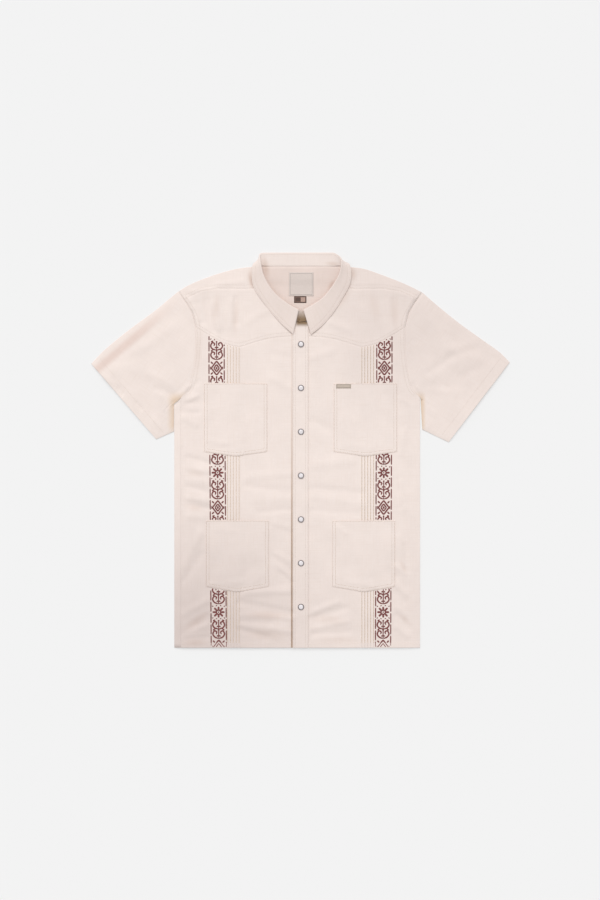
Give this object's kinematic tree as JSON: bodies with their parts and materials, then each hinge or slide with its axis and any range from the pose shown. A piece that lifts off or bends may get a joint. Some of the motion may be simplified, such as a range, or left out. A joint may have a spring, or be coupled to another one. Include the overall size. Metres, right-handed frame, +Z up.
{
  "type": "short-sleeved guayabera shirt",
  "caption": "Short-sleeved guayabera shirt laid flat and fastened, with patch pockets, pintucks, a pointed front yoke and a folded collar.",
  "frame": {"origin": "middle of the shirt's outline, on the surface it lies on", "axes": "+Z up from the surface, through the thickness; +Y to the collar; +X to the wearer's left"},
  "size_m": [0.859, 0.8111, 0.0117],
  "materials": {
    "cloth": "cream linen and cotton cloth with a slubbed plain weave",
    "label": "woven satin label, bare",
    "brown_label": "woven satin label, bare",
    "metal": "dark nickel, satin",
    "pearl": "pearl, glossy"
  },
  "bodies": {
    "root": {"back": "cloth", "back_yoke": "cloth", "front_left": "cloth", "front_right": "cloth", "front_yoke_left": "cloth", "front_yoke_right": "cloth", "sleeve_left": "cloth", "sleeve_right": "cloth", "chest_pocket_left": "cloth", "chest_pocket_right": "cloth", "lower_pocket_left": "cloth", "lower_pocket_right": "cloth", "placket": "cloth", "collar_stand": "cloth", "collar_leaf": "cloth", "neck_label": "label", "size_tab": "brown_label", "pocket_tab": "label", "snap_ring_1": "metal", "snap_ring_2": "metal", "snap_ring_3": "metal", "snap_ring_4": "metal", "snap_ring_5": "metal", "snap_ring_6": "metal", "snap_ring_7": "metal", "snap_cap_1": "pearl", "snap_cap_2": "pearl", "snap_cap_3": "pearl", "snap_cap_4": "pearl", "snap_cap_5": "pearl", "snap_cap_6": "pearl", "snap_cap_7": "pearl"}
  },
  "joints": []
}
